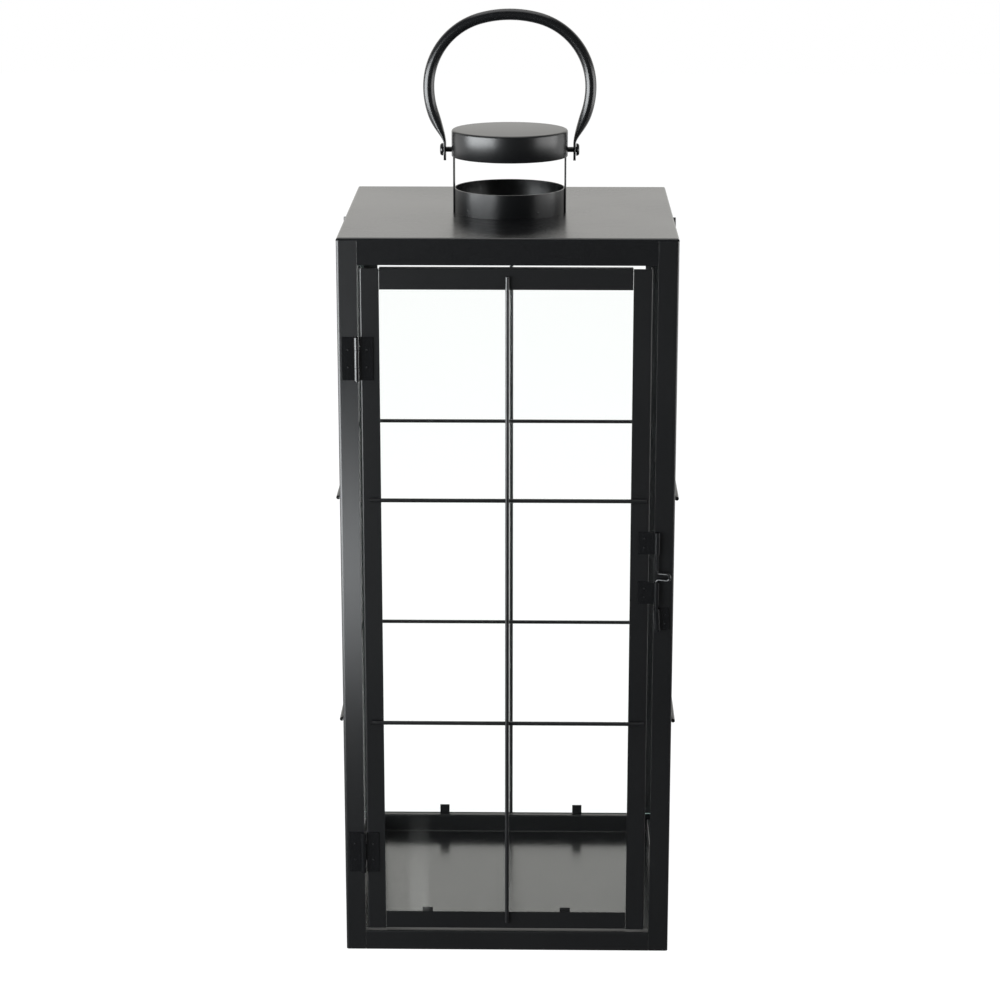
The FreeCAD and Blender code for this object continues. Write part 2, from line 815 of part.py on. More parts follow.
def make_latch_bolt():
    """Round rod bent into a small loop for a fingertip between the two guides."""
    turn = math.radians(size("latch_loop_turn"))
    out = FreeCAD.Vector(math.cos(turn), -math.sin(turn), 0)
    axis = FreeCAD.Vector(size("latch_x"), size("latch_y"), 0)
    low = size("latch_loop_base")
    high = low + size("latch_loop_height")
    reach = size("latch_loop_reach")
    corners = [
        axis + Z_AXIS * size("latch_rod_base"),
        axis + Z_AXIS * low,
        axis + out * reach + Z_AXIS * low,
        axis + out * reach + Z_AXIS * high,
        axis + Z_AXIS * high,
        axis + Z_AXIS * size("latch_rod_top"),
    ]
    path = bent_path(corners, size("latch_bend_radius"), size("latch_run_turn"))
    bolt = doc.addObject("Part::Feature", "latch_bolt")
    bolt.Label = "latch_bolt"
    bolt.Shape = swept_bar(path, X_AXIS, size("latch_rod_diameter") / 2)
    return bolt


# ----------------------------------------------------------------------------- crown


def make_crown_ring():
    body = new_body("crown_ring")
    sketch = new_sketch(body, "XY_Plane", "body_height")
    draw_circle(sketch, "ring_radius")
    draw_circle(sketch, "ring_radius - crown_wall")
    pad(body, sketch, "ring_height")
    return body


def cut_rivet_hole(body):
    hole = new_sketch(body, "YZ_Plane", "cap_radius + crown_wall")
    draw_circle(hole, "rivet_hole_radius", "0", "pivot_height")
    pocket_through(body, hole)


def make_crown_strap(label, angle):
    """Curved strip that stands on the roof outside the ring and rises into the cap."""
    body = new_body(label)
    sketch = new_sketch(body, "XY_Plane", "body_height")
    half = size("strap_width") / 2
    arcs = []
    for radius in ("ring_radius", "strap_outer"):
        reach = math.asin(half / size(radius))
        rough = Part.Circle(FreeCAD.Vector(), Z_AXIS, size(radius))
        arc = sketch.addGeometry(Part.ArcOfCircle(rough, -reach, reach), False)
        bind(sketch, Sketcher.Constraint("Radius", arc, size(radius)), radius)
        sketch.addConstraint(Sketcher.Constraint("Coincident", arc, 3, -1, 1))
        for point, sign in ((1, -1), (2, 1)):
            level = Sketcher.Constraint("DistanceY", -1, 1, arc, point, sign * half)
            bind(sketch, level, "%d * strap_width / 2" % sign)
        arcs.append(arc)
    inner, outer = (sketch.Geometry[arc] for arc in arcs)
    starts = (inner.StartPoint, outer.StartPoint)
    finishes = (inner.EndPoint, outer.EndPoint)
    for point, ends in ((1, starts), (2, finishes)):
        line = sketch.addGeometry(Part.LineSegment(*ends), False)
        for end, arc in enumerate(arcs, start=1):
            sketch.addConstraint(Sketcher.Constraint("Coincident", line, end, arc, point))
    pad(body, sketch, "strap_height")
    cut_rivet_hole(body)
    place(body, angle=angle)
    return body


def make_crown_cap():
    """Shallow cap, open below, that keeps rain off the vent."""
    body = new_body("crown_cap")
    sketch = new_sketch(body, "XY_Plane", "cap_base")
    draw_circle(sketch, "cap_radius")
    disc = pad(body, sketch, "cap_height")
    top = size("cap_top")
    bevelled = bevel(body, disc, "cap_edge_bevel", lambda edge: near(edge.BoundBox.ZMin, top))
    shell_from_below(body, bevelled, "crown_wall", size("cap_base"))
    cut_rivet_hole(body)
    return body


def make_handle_rivet(label, angle):
    """Rivet through strap, cap and handle: head outside, closed tail inside."""
    body = new_body(label)
    sketch = new_sketch(body, "XZ_Plane")
    shank = "rivet_shank_diameter / 2"
    head = "rivet_head_diameter / 2"
    tail_end = "rivet_tail_face - rivet_tail_height"
    head_end = "rivet_head_face + rivet_head_height"
    corners = [
        (tail_end, "0"),
        (tail_end, "rivet_tail_radius"),
        ("rivet_tail_face", "rivet_tail_radius"),
        ("rivet_tail_face", shank),
        ("rivet_head_face", shank),
        ("rivet_head_face", head),
        (head_end, head),
        (head_end, "0"),
    ]
    draw_path(sketch, corners)
    turned = body.newObject("PartDesign::Revolution", label + "_turned")
    turned.Profile = sketch
    turned.ReferenceAxis = (origin_feature(body, "X_Axis"), [""])
    turned.Angle = 360
    place(body, z="pivot_height", angle=angle)
    return body


# ----------------------------------------------------------------------------- bail handle


def bow_path(half, widest):
    """Right half of the bow's centre line: short runs round a flat arc, then the shoulder arc."""
    shoulder = size("handle_shoulder_radius")
    join = math.radians(size("handle_shoulder_angle"))
    most_turn = size("handle_run_turn")
    crown = (half - shoulder * (1 - math.cos(join))) / math.cos(join)
    crown_centre = FreeCAD.Vector(0, 0, widest + (shoulder - crown) * math.sin(join))
    shoulder_centre = FreeCAD.Vector(half - shoulder, 0, widest)
    slope = FreeCAD.Vector(math.cos(join), 0, math.sin(join))
    points = [crown_centre + Z_AXIS * crown]
    points += touching_corners(crown_centre, Z_AXIS, slope, crown, most_turn)
    points += touching_corners(shoulder_centre, slope, X_AXIS, shoulder, most_turn)
    points.append(FreeCAD.Vector(half, 0, widest))
    return Part.makePolygon(points)


def neck_sections(start, foot):
    """Sections down the neck, where the tube curves in to the crown and is pressed flat."""
    radius = size("handle_tube_diameter") / 2
    flat = size("paddle_thickness") / 2
    broad = size("paddle_width") / 2
    bulge = size("handle_neck_bulge")
    lead = foot + FreeCAD.Vector(flat / 2, 0, bulge / 3)
    curve = Part.BezierCurve()
    curve.setPoles([start, start - Z_AXIS * bulge, lead, foot])
    steps = 7
    sections = []
    for step in range(steps + 1):
        share = step / steps
        along = curve.tangent(share)[0]
        outward = FreeCAD.Vector(-along.z, 0, along.x)
        pressed = smooth((share - 0.35) / 0.65)
        thick = blend(radius, flat, pressed)
        wide = blend(radius, broad, pressed)
        sections.append(bar_section(curve.value(share), outward, thick, wide, pressed))
    return sections


def trim_paddle(paddle, pivot):
    """Round the tip of the flat end about its own width and bore it for the rivet."""
    inner = size("paddle_inner") - size("paddle_thickness")
    through = 3 * size("paddle_thickness")
    half = size("paddle_width") / 2
    tip = pivot - size("paddle_end") + half
    rise = size("handle_neck_height") + size("paddle_end")
    disc = Part.makeCylinder(half, through, FreeCAD.Vector(inner, 0, tip), X_AXIS)
    corner = FreeCAD.Vector(inner, -2 * half, tip)
    block = Part.makeBox(through, 4 * half, rise, corner)
    rivet_hole = FreeCAD.Vector(inner, 0, pivot)
    bore = Part.makeCylinder(size("rivet_hole_radius"), through, rivet_hole, X_AXIS)
    return paddle.common(disc.fuse(block)).cut(bore)


def make_handle():
    """Bail handle: one round tube, its two ends pressed flat and bored for the rivets."""
    radius = size("handle_tube_diameter") / 2
    pivot = size("pivot_height")
    half = size("handle_width") / 2 - radius
    widest = pivot + size("handle_widest_height")
    start = FreeCAD.Vector(half, 0, widest)
    middle = size("paddle_inner") + size("paddle_thickness") / 2
    foot = FreeCAD.Vector(middle, 0, pivot + size("handle_neck_height"))

    sections = neck_sections(start, foot)
    bow = swept_bar(bow_path(half, widest), Z_AXIS, radius)
    neck = Part.makeLoft(sections, True, True)
    drop = size("handle_neck_height") + size("paddle_end")
    paddle = Part.Face(sections[-1]).extrude(Z_AXIS * -drop)
    right = bow.fuse([neck, trim_paddle(paddle, pivot)])
    left = right.mirror(FreeCAD.Vector(), X_AXIS)
    handle = doc.addObject("Part::Feature", "handle")
    handle.Label = "handle"
    handle.Shape = right.fuse(left).removeSplitter()
    return handle


# ----------------------------------------------------------------------------- whole lantern


def build_lantern():
    """Every separate piece of the lantern."""
    pieces = [make_base_plate(), make_roof()]
    pieces += [make_bottom_rail(face) for face in FACES]
    pieces.append(make_post("post_front_left", "-half_width", "-half_depth", 0))
    pieces.append(make_post("post_front_right", "half_width", "-half_depth", 90))
    pieces.append(make_post("post_rear_right", "half_width", "half_depth", 180))
    pieces.append(make_post("post_rear_left", "-half_width", "half_depth", 270))

    side_length = "body_depth - 2 * (sheet_thickness + glass_end_gap)"
    rear_length = "body_width - 2 * (glass_inner + glass_play)"
    for face, length in (("left", side_length), ("right", side_length), ("rear", rear_length)):
        pieces.append(make_glass(face, length))
        pieces.append(make_glass_clips(face))
        pieces += make_side_grid(face)

    pieces.append(make_door_stile("door_stile_left", "door_left", "stile_left_inner", "+"))
    pieces.append(make_door_stile("door_stile_right", "door_right", "stile_right_inner", "-"))
    pieces.append(make_door_rail("door_rail_top", "door_top", "door_rail_top_width", "-"))
    pieces.append(make_door_rail("door_rail_bottom", "door_base", "door_rail_bottom_width", "+"))
    pieces += [make_door_glass(), make_door_clips()]
    pieces += make_door_grid()
    pieces += make_hinge("upper", "hinge_level_upper")
    pieces += make_hinge("lower", "hinge_level_lower")

    pieces.append(make_latch_guide("upper", "latch_guide_level_upper"))
    pieces.append(make_latch_guide("lower", "latch_guide_level_lower"))
    pieces += [make_latch_keeper(), make_latch_bolt()]

    pieces += [make_crown_ring(), make_crown_cap()]
    pieces += [make_crown_strap("crown_strap_right", 0), make_crown_strap("crown_strap_left", 180)]
    pieces.append(make_handle_rivet("handle_rivet_right", 0))
    pieces.append(make_handle_rivet("handle_rivet_left", 180))
    pieces.append(make_handle())
    return pieces


def check(pieces):
    """Stop if any object failed to build, or any piece is empty or broken."""
    for item in doc.Objects:
        if "Invalid" in item.State or "Error" in item.State:
            raise RuntimeError("%s did not build: %s" % (item.Label, item.State))
    for piece in pieces:
        shape = piece.Shape
        if shape.isNull() or not shape.isValid() or shape.Volume <= 0:
            raise RuntimeError("%s has no sound solid" % piece.Label)


def write(pieces):
    os.makedirs("parts", exist_ok=True)
    for piece in pieces:
        piece.Shape.exportStep("parts/%s.step" % piece.Label)
        count = len(piece.Shape.Solids)
        print("%-24s %d solid(s) %10.1f mm3" % (piece.Label, count, piece.Shape.Volume))


pieces = build_lantern()
doc.recompute()
check(pieces)
write(pieces)
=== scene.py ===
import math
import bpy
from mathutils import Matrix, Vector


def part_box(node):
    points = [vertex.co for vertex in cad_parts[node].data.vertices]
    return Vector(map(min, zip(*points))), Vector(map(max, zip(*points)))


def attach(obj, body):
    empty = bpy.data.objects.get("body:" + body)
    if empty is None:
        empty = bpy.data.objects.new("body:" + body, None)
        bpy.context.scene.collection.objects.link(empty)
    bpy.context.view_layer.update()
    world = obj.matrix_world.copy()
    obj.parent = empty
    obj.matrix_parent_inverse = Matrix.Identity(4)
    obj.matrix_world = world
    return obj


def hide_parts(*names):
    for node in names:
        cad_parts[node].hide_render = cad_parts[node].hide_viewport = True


bl_info = {
    "name": "Candle Lantern",
    "version": (1, 0, 0),
    "blender": (4, 5, 0),
    "location": "View3D > Sidebar > Lantern",
    "description": "Dresses the packed lantern with smooth round parts, finishes and a studio",
    "category": "Object",
}

import bmesh
import bpy
from bpy.props import FloatProperty, FloatVectorProperty, IntProperty, PointerProperty
from mathutils import Vector

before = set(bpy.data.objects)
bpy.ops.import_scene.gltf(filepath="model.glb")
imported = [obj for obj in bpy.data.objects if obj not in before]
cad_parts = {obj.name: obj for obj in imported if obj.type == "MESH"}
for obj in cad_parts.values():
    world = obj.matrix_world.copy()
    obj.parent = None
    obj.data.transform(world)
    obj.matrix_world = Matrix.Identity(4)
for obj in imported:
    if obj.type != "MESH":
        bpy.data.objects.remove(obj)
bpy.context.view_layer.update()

X_AXIS = Vector((1, 0, 0))
Y_AXIS = Vector((0, 1, 0))
Z_AXIS = Vector((0, 0, 1))


def middle(node):
    low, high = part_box(node)
    return (low + high) / 2


# ---------------------------------------------------------------- settings


class LanternSizes(bpy.types.PropertyGroup):
    """Sizes of the round and bent pieces that are made anew."""

    wire_diameter: FloatProperty(
        name="Wire diameter",
        description="Round wire of the grids on the four sides",
        default=0.003,
        unit="LENGTH",
    )
    rod_diameter: FloatProperty(
        name="Latch rod diameter",
        description="Bent rod that drops into the keeper",
        default=0.0022,
        unit="LENGTH",
    )
    rod_bend: FloatProperty(
        name="Latch rod bend",
        description="Radius of the rod's centre line at its bends",
        default=0.0019,
        unit="LENGTH",
    )
    loop_reach: FloatProperty(
        name="Loop reach",
        description="How far the rod's loop stands out from its axis",
        default=0.010,
        unit="LENGTH",
    )
    loop_turn: FloatProperty(
        name="Loop turn",
        description="How far the loop is turned towards the viewer",
        default=math.radians(20),
        subtype="ANGLE",
    )
    tube_diameter: FloatProperty(
        name="Handle tube diameter",
        description="Round tube of the bail handle",
        default=0.0086,
        unit="LENGTH",
    )
    shoulder_radius: FloatProperty(
        name="Handle shoulder radius",
        description="Radius of the handle's centre line at its sides",
        default=0.0535,
        unit="LENGTH",
    )
    shoulder_angle: FloatProperty(
        name="Handle shoulder angle",
        description="Turn of the shoulder arc, from level up to the flatter top arc",
        default=math.radians(75),
        subtype="ANGLE",
    )
    widest_height: FloatProperty(
        name="Handle widest height",
        description="Height above the rivets at which the handle is widest",
        default=0.0476,
        unit="LENGTH",
    )
    paddle_thickness: FloatProperty(
        name="Paddle thickness",
        description="Thickness of the handle's ends, pressed flat",
        default=0.002,
        unit="LENGTH",
    )
    paddle_width: FloatProperty(
        name="Paddle width",
        description="Width of the handle's ends, pressed flat",
        default=0.0115,
        unit="LENGTH",
    )
    cap_edge_radius: FloatProperty(
        name="Cap edge radius",
        description="Rounding where the cap's side turns into its top",
        default=0.0017,
        unit="LENGTH",
    )
    cut_edge: FloatProperty(
        name="Cut edge",
        description="Softening of the cut edges of sheet and strip",
        default=0.00018,
        unit="LENGTH",
    )
    round_segments: IntProperty(
        name="Round segments",
        description="Sides of a large turned piece",
        default=128,
        min=24,
    )


class LanternFinish(bpy.types.PropertyGroup):
    """Colours and textures of the coat and the glass."""

    coat_dark: FloatVectorProperty(
        name="Coat, dark",
        description="Darker tone of the black powder coat",
        subtype="COLOR",
        default=(0.0024, 0.0026, 0.0030),
        min=0,
        max=1,
    )
    coat_light: FloatVectorProperty(
        name="Coat, light",
        description="Lighter tone of the black powder coat",
        subtype="COLOR",
        default=(0.0042, 0.0045, 0.0050),
        min=0,
        max=1,
    )
    speck: FloatVectorProperty(
        name="Speck",
        description="Dust and tiny pits in the coat",
        subtype="COLOR",
        default=(0.10, 0.10, 0.095),
        min=0,
        max=1,
    )
    coat_roughness: FloatProperty(
        name="Coat roughness",
        description="Satin of the powder coat",
        default=0.34,
        min=0,
        max=1,
    )
    plate_roughness: FloatProperty(
        name="Plate roughness",
        description="Gloss of the broad level plates, smoother than the bars",
        default=0.27,
        min=0,
        max=1,
    )
    glass_edge: FloatVectorProperty(
        name="Glass edge",
        description="Green grey of the panes' cut edges",
        subtype="COLOR",
        default=(0.30, 0.40, 0.37),
        min=0,
        max=1,
    )
    glass_body: FloatVectorProperty(
        name="Glass",
        description="Faint tint of a pane that is looked through",
        subtype="COLOR",
        default=(0.992, 0.997, 0.994),
        min=0,
        max=1,
    )


class LanternStudio(bpy.types.PropertyGroup):
    """Floor, lamps, surroundings and camera."""

    floor_colour: FloatVectorProperty(
        name="Floor",
        description="Pale floor that the lantern stands on",
        subtype="COLOR",
        default=(0.90, 0.90, 0.90),
        min=0,
        max=1,
    )
    left_power: FloatProperty(
        name="Left softbox",
        description="Power of the broad softbox at the front left",
        default=78.0,
        unit="POWER",
    )
    right_power: FloatProperty(
        name="Right softbox",
        description="Power of the broad softbox at the right",
        default=20.0,
        unit="POWER",
    )
    top_power: FloatProperty(
        name="Top softbox",
        description="Power of the broad lamp overhead",
        default=14.0,
        unit="POWER",
    )
    ambient: FloatProperty(
        name="Ambient",
        description="Even light from all round",
        default=0.62,
        min=0,
    )
    backdrop_gloss: FloatProperty(
        name="Backdrop in gloss",
        description="Brightness that polished surfaces see behind the lantern",
        default=1.08,
        min=0,
    )
    front_gloss: FloatProperty(
        name="Front in gloss",
        description="Brightness that polished surfaces see on the camera's side",
        default=0.09,
        min=0,
    )
    eye: FloatVectorProperty(
        name="Eye",
        description="Place of the camera",
        subtype="TRANSLATION",
        unit="LENGTH",
        default=(0.026, -2.082, 0.895),
    )
    tilt: FloatProperty(
        name="Tilt",
        description="How far the camera looks down",
        default=math.radians(15.2),
        subtype="ANGLE",
    )
    yaw: FloatProperty(
        name="Yaw",
        description="How far the camera is turned to its left",
        default=math.radians(0.92),
        subtype="ANGLE",
    )
    lens: FloatProperty(
        name="Lens",
        description="Focal length on a 36 mm sensor, in millimetres",
        default=98.06,
        min=1,
    )


# ---------------------------------------------------------------- shader maths


class Socket:
    """A node's output that can be used in sums, so that a formula adds its own Math nodes."""

    def __init__(self, graph, link):
        self.graph = graph
        self.link = link

    def combine(self, operation, first, second):
        return self.graph.add(
            "ShaderNodeMath", {"operation": operation}, {0: first, 1: second}
        )

    def __add__(self, other):
        return self.combine("ADD", self, other)

    def __radd__(self, other):
        return self.combine("ADD", other, self)

    def __sub__(self, other):
        return self.combine("SUBTRACT", self, other)

    def __rsub__(self, other):
        return self.combine("SUBTRACT", other, self)

    def __mul__(self, other):
        return self.combine("MULTIPLY", self, other)

    def __rmul__(self, other):
        return self.combine("MULTIPLY", other, self)

    def __pow__(self, other):
        return self.combine("POWER", self, other)

    def __gt__(self, other):
        return self.combine("GREATER_THAN", self, other)

    def __lt__(self, other):
        return self.combine("LESS_THAN", self, other)

    def __abs__(self):
        return self.combine("ABSOLUTE", self, 0.0)


class Graph:
    """The nodes of one material or of the world."""

    def __init__(self, owner):
        owner.use_nodes = True
        self.tree = owner.node_tree
        self.tree.nodes.clear()

    def add(self, kind, settings=None, inputs=None, output=0):
        """One node: its settings are set first, then the values or links of its sockets."""
        node = self.tree.nodes.new(kind)
        for name, value in (settings or {}).items():
            if name == "stops":
                self.set_stops(node.color_ramp, value)
            else:
                setattr(node, name, value)
        for name, value in (inputs or {}).items():
            if isinstance(value, Socket):
                self.tree.links.new(value.link, node.inputs[name])
            else:
                node.inputs[name].default_value = value
        return Socket(self, node.outputs[output])

    @staticmethod
    def set_stops(ramp, stops):
        while len(ramp.elements) < len(stops):
            ramp.elements.new(0.5)
        for element, (place, grey) in zip(ramp.elements, stops):
            element.position = place
            element.color = (grey, grey, grey, 1)

    def object_place(self):
        return self.add("ShaderNodeTexCoord", output="Object")

    def axes_of(self, vector):
        node = self.add("ShaderNodeSeparateXYZ", inputs={0: vector}).link.node
        return [Socket(self, out) for out in node.outputs]

    def noise(self, place, scale, detail=2.0, roughness=0.5):
        values = {"Vector": place, "Scale": scale, "Detail": detail, "Roughness": roughness}
        return self.add("ShaderNodeTexNoise", inputs=values)

    def dots(self, place, scale, radius, rarity):
        """Small round dots: one in each cell whose own random number is above rarity."""
        inputs = {"Vector": place, "Scale": scale}
        cells = self.add("ShaderNodeTexVoronoi", inputs=inputs).link.node
        from_centre = Socket(self, cells.outputs["Distance"])
        luck = self.axes_of(Socket(self, cells.outputs["Color"]))[0]
        return (1 - self.ease(from_centre, radius * 0.5, radius)) * (luck > rarity)

    def ease(self, value, low, high):
        """0 below low and 1 above high, with a smooth turn between them."""
        inputs = {"Value": value, "From Min": low, "From Max": high}
        return self.add("ShaderNodeMapRange", {"interpolation_type": "SMOOTHSTEP"}, inputs)

    def blend_colour(self, share, first, second):
        inputs = {0: share, 6: opaque(first), 7: opaque(second)}
        return self.add("ShaderNodeMix", {"data_type": "RGBA"}, inputs, output=2)

    def blend_shader(self, share, first, second):
        return self.add("ShaderNodeMixShader", inputs={0: share, 1: first, 2: second})

    def finish(self, shader, kind="ShaderNodeOutputMaterial"):
        out = self.tree.nodes.new(kind)
        self.tree.links.new(shader.link, out.inputs["Surface"])


def opaque(colour):
    if isinstance(colour, Socket):
        return colour
    return (*tuple(colour)[:3], 1.0)


# ---------------------------------------------------------------- finishes

PEEL_SCALE = 520.0
GRAIN_SCALE = 2600.0
CLOUD_SCALE = 7.0
SPECK_SCALE = 150.0
SPECK_RADIUS = 0.035
SPECK_RARITY = 0.86
RELIEF_STRENGTH = 0.16
RELIEF_DEPTH = 0.0002
# The floor plate's coat turns pale in a fine grain from this Y towards the rear.
FLOOR_PALE_FROM = 0.1135
FLOOR_EXTRA_GLOSS = 0.07
POST_TWIST = 0.20


def coat(name, roughness=None, peel=1.0, specks=1.0, twist=0.0, ior=1.52, pale_from=None):
    """Black powder coat: slight clouds, orange peel, fine grain and a few specks.

    twist leans the normal to the left round mid height, for the look of a slightly twisted bar;
    the mesh stays straight. pale_from is the Y from which the coat turns pale in a fine grain.
    """
    found = bpy.data.materials.get(name)
    if found:
        return found
    finish = bpy.context.scene.lantern_finish
    base_roughness = finish.coat_roughness if roughness is None else roughness
    material = bpy.data.materials.new(name)
    graph = Graph(material)
    place = graph.object_place()

    clouds = graph.noise(place, CLOUD_SCALE, detail=4.0)
    grain = graph.noise(place, GRAIN_SCALE)
    orange_peel = graph.noise(place, PEEL_SCALE)
    dots = graph.dots(place, SPECK_SCALE, SPECK_RADIUS, SPECK_RARITY) * specks

    tone = graph.blend_colour(clouds, finish.coat_dark, finish.coat_light)
    pale = dots * 0.7
    if pale_from is not None:
        # Towards the rear, from that Y on, the coat turns pale in a fine grain.
        edge = graph.ease(graph.axes_of(place)[1], pale_from, pale_from + 0.003)
        pale = graph.add("ShaderNodeMath", {"operation": "MAXIMUM"}, {0: pale, 1: edge * grain})
    colour = graph.blend_colour(pale, tone, finish.speck)
    satin = base_roughness + (clouds - 0.5) * 0.10 + (grain - 0.5) * 0.06 + dots * 0.2
    height = orange_peel * 0.8 + grain * 0.12 + dots * 0.5
    bump_inputs = {"Strength": RELIEF_STRENGTH * peel, "Distance": RELIEF_DEPTH, "Height": height}
    if twist:
        bump_inputs["Normal"] = leaning_normal(graph, place, twist)
    relief = graph.add("ShaderNodeBump", inputs=bump_inputs)
    shader = graph.add(
        "ShaderNodeBsdfPrincipled",
        inputs={
            "Base Color": colour,
            "Roughness": satin,
            "Normal": relief,
            "IOR": ior,
        },
    )
    graph.finish(shader)
    return material


def leaning_normal(graph, place, twist):
    """The surface's normal, leaned towards -X most at mid height and not at all at the ends."""
    height = graph.axes_of(place)[2]
    rise = graph.ease(height, 0.02, 0.30)
    fall = 1 - graph.ease(height, 0.30, 0.54) * 0.80
    amount = rise * fall * twist
    lean = graph.add("ShaderNodeCombineXYZ", inputs={0: 0 - amount, 2: amount * 0.6})
    normal = graph.add("ShaderNodeNewGeometry", output="Normal")
    leaned = graph.add("ShaderNodeVectorMath", {"operation": "ADD"}, {0: normal, 1: lean})
    return graph.add("ShaderNodeVectorMath", {"operation": "NORMALIZE"}, {0: leaned})


HEAD_ON_GLOSS = 0.006
GRAZING_GLOSS = 0.96
DUST_SCALE = 420.0
DUST_RADIUS = 0.09
DUST_RARITY = 0.93
# Left and right edges in X of the upright streak of painted shade low on the panes.
SHADE_STREAK_LEFT_EDGE = (-0.078, -0.072)
SHADE_STREAK_RIGHT_EDGE = (-0.064, -0.058)


def pane_glass(name, across, dust_and_shade=0.0):
    """Clear float glass whose cut edges are green grey, with dust specks and painted shade low
    down. across is the axis through the pane; dusty sets how much of both.
    """
    found = bpy.data.materials.get(name)
    if found:
        return found
    finish = bpy.context.scene.lantern_finish
    material = bpy.data.materials.new(name)
    graph = Graph(material)
    place = graph.object_place()

    mirror = graph.add(
        "ShaderNodeBsdfPrincipled",
        inputs={"Base Color": (1, 1, 1, 1), "Metallic": 1.0, "Roughness": 0.015},
    )
    through = graph.add("ShaderNodeBsdfTransparent", inputs={0: opaque(finish.glass_body)})
    # The same on both surfaces of the pane, unlike a Fresnel node, whose far surface is a mirror.
    slant = graph.add("ShaderNodeLayerWeight", inputs={"Blend": 0.5}, output="Facing")
    pane = graph.blend_shader(slant**5 * GRAZING_GLOSS + HEAD_ON_GLOSS, through, mirror)

    axes = graph.axes_of(place)
    patches = graph.noise(place, 16.0, detail=3.0)
    low_down = 1 - graph.ease(axes[2], 0.02, 0.13)
    dust = graph.dots(place, DUST_SCALE, DUST_RADIUS, DUST_RARITY)
    specks = dust * graph.ease(patches, 0.40, 0.60)
    # Painted shade: the panes grey towards the bottom, most in a narrow upright streak on the
    # left. The specks are dust, thicker low down.
    right_of_edge = graph.ease(axes[0], *SHADE_STREAK_RIGHT_EDGE)
    shade_streak = graph.ease(axes[0], *SHADE_STREAK_LEFT_EDGE) * (1 - right_of_edge)
    painted_shade = shade_streak * low_down * 0.05 + graph.noise(place, 60.0) * low_down * 0.012
    dust_and_shade_share = (specks * (0.08 + low_down * 0.5) + painted_shade) * dust_and_shade
    dust_and_shade_shader = graph.add(
        "ShaderNodeBsdfPrincipled",
        inputs={"Base Color": (0.72, 0.72, 0.69, 1), "Roughness": 0.9},
    )
    dusted_and_shaded = graph.blend_shader(dust_and_shade_share, pane, dust_and_shade_shader)

    edge = graph.add(
        "ShaderNodeBsdfPrincipled",
        inputs={"Base Color": opaque(finish.glass_edge), "Roughness": 0.35},
    )
    normal = graph.axes_of(graph.add("ShaderNodeTexCoord", output="Normal"))["XYZ".index(across)]
    graph.finish(graph.blend_shader(abs(normal) < 0.5, dusted_and_shaded, edge))
    return material


def dress(node, material):
    """Give a CAD node a finish on every slot."""
    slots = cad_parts[node].material_slots
    for slot in slots:
        slot.material = material


def soften(node, width):
    """Round a CAD node's cut edges slightly, so that they catch the light."""
    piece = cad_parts[node]
    edge = piece.modifiers.new("cut_edges", "BEVEL")
    edge.width = width
    edge.segments = 2
    edge.limit_method = "ANGLE"
    edge.angle_limit = math.radians(40)
    edge.use_clamp_overlap = True
    shading = piece.modifiers.new("shading", "WEIGHTED_NORMAL")
    shading.keep_sharp = False
    shading.weight = 60


# ---------------------------------------------------------------- mesh tools


def add_piece(name, mesh, body, material, replaces=()):
    piece = bpy.data.objects.new(name, mesh)
    bpy.context.scene.collection.objects.link(piece)
    mesh.materials.append(material)
    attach(piece, body)
    if replaces:
        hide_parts(*replaces)
    return piece


def mesh_of_rings(name, rings, closed=False):
    """Skin over rings of points, with a flat lid at each end unless the rings close up."""
    work = bmesh.new()
    rows = [[work.verts.new(point) for point in ring] for ring in rings]
    count = len(rows[0])
    pairs = list(zip(rows, rows[1:]))
    if closed:
        pairs.append((rows[-1], rows[0]))
    for first, second in pairs:
        for i in range(count):
            j = (i + 1) % count
            work.faces.new((first[i], first[j], second[j], second[i]))
    if not closed:
        work.faces.new(list(reversed(rows[0])))
        work.faces.new(rows[-1])
    bmesh.ops.recalc_face_normals(work, faces=work.faces)
    mesh = bpy.data.meshes.new(name)
    work.to_mesh(mesh)
    work.free()
    mesh.polygons.foreach_set("use_smooth", [True] * len(mesh.polygons))
    mesh.set_sharp_from_angle(angle=math.radians(50))
    return mesh


def round_ring(centre, outward, sideways, radius, sides=32):
    turns = [2 * math.pi * i / sides for i in range(sides)]
    return [
        centre + outward * (radius * math.cos(turn)) + sideways * (radius * math.sin(turn))
        for turn in turns
    ]


def tube_rings(points, radius, sideways, sides=32, end_round=0.25):
    """Rings along a flat path whose plane is square to sideways, with rounded ends."""
    directions = []
    for i in range(len(points)):
        before = points[max(i - 1, 0)]
        after = points[min(i + 1, len(points) - 1)]
        directions.append((after - before).normalized())
    rings = []
    steps = 4
    lip = radius * end_round
    for i, (point, along) in enumerate(zip(points, directions)):
        outward = along.cross(sideways).normalized()
        at_start, at_end = i == 0, i == len(points) - 1
        if not (at_start or at_end):
            rings.append(round_ring(point, outward, sideways, radius, sides))
            continue
        inward = along if at_start else -along
        ending = []
        for step in range(steps + 1):
            turn = math.pi / 2 * step / steps
            centre = point + inward * (lip * (1 - math.sin(turn)))
            ring_radius = radius - lip * (1 - math.cos(math.pi / 2 - turn))
            ending.append(round_ring(centre, outward, sideways, ring_radius, sides))
        rings += ending if at_start else list(reversed(ending))
    return rings


def rounded_corners(corners, radius, steps=8):
    """A path through the corners with an arc of the radius at each turn."""
    path = [corners[0]]
    for before, corner, after in zip(corners, corners[1:], corners[2:]):
        back = (before - corner).normalized()
        ahead = (after - corner).normalized()
        half_angle = back.angle(ahead) / 2
        reach = radius / math.tan(half_angle)
        centre = corner + (back + ahead).normalized() * (radius / math.sin(half_angle))
        start = corner + back * reach - centre
        finish = corner + ahead * reach - centre
        total = start.angle(finish)
        for step in range(steps + 1):
            share = step / steps
            first = math.sin((1 - share) * total) / math.sin(total)
            second = math.sin(share * total) / math.sin(total)
            path.append(centre + start * first + finish * second)
    path.append(corners[-1])
    return path


# A turned profile starts and ends this far from its axis, so that no two points coincide.
AXIS_GAP = 0.00001


